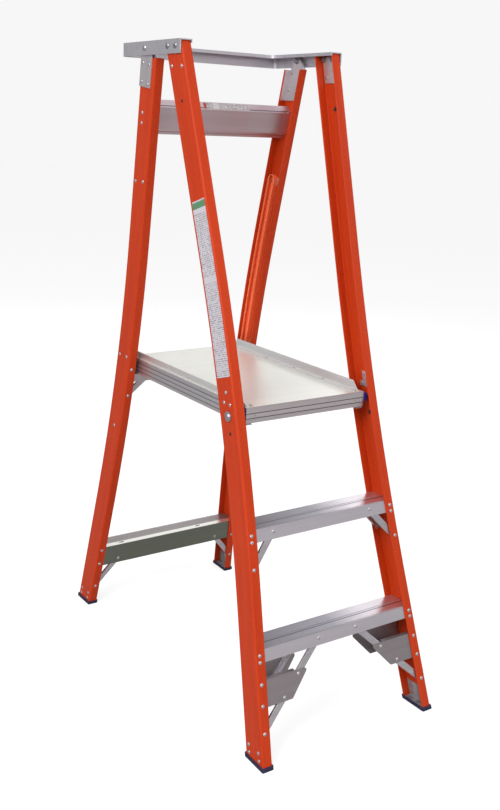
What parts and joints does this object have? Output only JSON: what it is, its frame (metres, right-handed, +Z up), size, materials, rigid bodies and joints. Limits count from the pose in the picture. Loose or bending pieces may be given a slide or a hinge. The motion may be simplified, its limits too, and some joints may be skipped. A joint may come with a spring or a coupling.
{
  "type": "step ladder",
  "caption": "Folding platform step ladder: fibreglass channel stiles, aluminium treads, hinged standing platform with toe boards, and a U-shaped guard rail.",
  "frame": {"origin": "on the floor, midway between the front and rear feet and between the left and right feet", "axes": "+Z up, +Y the way the climber faces, +X to the climber's right; the climbing side is at -Y"},
  "size_m": [0.5758, 1.1172, 1.752],
  "materials": {
    "orange_fibreglass": "satin, fine lengthwise fibre",
    "orange_track": "satin, beaded",
    "mill_aluminium": "mill",
    "navy_rubber": "matt",
    "blue_plastic": "satin",
    "black_plastic": "satin",
    "printed_label": "printed film",
    "rivet_aluminium": "bright",
    "zinc_steel": "zinc plated",
    "plate_steel": "zinc plated, dull",
    "deck_aluminium": "brushed",
    "brace_aluminium": "satin",
    "rail_aluminium": "satin extruded"
  },
  "bodies": {
    "front_frame": {"front_foot_brackets": "mill_aluminium", "front_foot_left": "navy_rubber", "front_foot_right": "navy_rubber", "front_stile_left": "orange_fibreglass", "front_stile_right": "orange_fibreglass", "front_web_rivets": "rivet_aluminium", "guard_rail": "rail_aluminium", "guard_rail_bolts": "zinc_steel", "guard_rail_nuts": "zinc_steel", "gusset_plates_left": "brace_aluminium", "gusset_plates_right": "brace_aluminium", "hinge_pins": "zinc_steel", "hinge_spacers": "zinc_steel", "hole_plugs": "black_plastic", "instruction_label": "printed_label", "lower_tread": "rail_aluminium", "lower_tread_braces_left": "brace_aluminium", "lower_tread_braces_right": "brace_aluminium", "pivot_bracket_left": "plate_steel", "pivot_bracket_right": "plate_steel", "platform_pivot_bolts": "zinc_steel", "platform_pivot_nuts": "zinc_steel", "stile_top_plate_left": "plate_steel", "stile_top_plate_right": "plate_steel", "tread_rivets": "rivet_aluminium", "upper_tread": "rail_aluminium", "upper_tread_braces_left": "brace_aluminium", "upper_tread_braces_right": "brace_aluminium"},
    "rear_frame": {"guide_track_left": "orange_track", "guide_track_right": "orange_track", "hinge_liner_left": "plate_steel", "hinge_liner_right": "plate_steel", "hinge_plate_left": "plate_steel", "hinge_plate_right": "plate_steel", "hinge_rivets": "rivet_aluminium", "knee_rail": "rail_aluminium", "knee_rail_sticker": "printed_label", "platform_rest_bar": "rail_aluminium", "rear_bar": "rail_aluminium", "rear_bar_braces": "brace_aluminium", "rear_foot_brackets": "mill_aluminium", "rear_foot_left": "navy_rubber", "rear_foot_right": "navy_rubber", "rear_frame_rivets": "rivet_aluminium", "rear_stile_left": "orange_fibreglass", "rear_stile_right": "orange_fibreglass", "rest_bar_braces": "brace_aluminium", "track_clips": "plate_steel"},
    "platform": {"platform_bush_left": "blue_plastic", "platform_bush_right": "blue_plastic", "platform_deck": "deck_aluminium", "platform_front_rail": "rail_aluminium", "platform_guide_pins": "zinc_steel", "platform_rear_rail": "rail_aluminium", "platform_rivets": "rivet_aluminium", "platform_side_rail_left": "rail_aluminium", "platform_side_rail_right": "rail_aluminium", "toe_board_left": "rail_aluminium", "toe_board_right": "rail_aluminium"}
  },
  "joints": [
    {"name": "rear_fold", "type": "hinge", "parent": "front_frame", "child": "rear_frame", "pos_m": [0, 0.1726, 1.735], "axis": [-1, 0, 0], "range_deg": [0, 28.9]},
    {"name": "platform_swing", "type": "hinge", "parent": "front_frame", "child": "platform", "pos_m": [0, -0.2569, 0.841], "axis": [1, 0, 0], "range_deg": [0, 57.9]}
  ],
  "couplings": [
    {"joint": "platform_swing", "follows": "rear_fold", "ratio": 2}
  ]
}
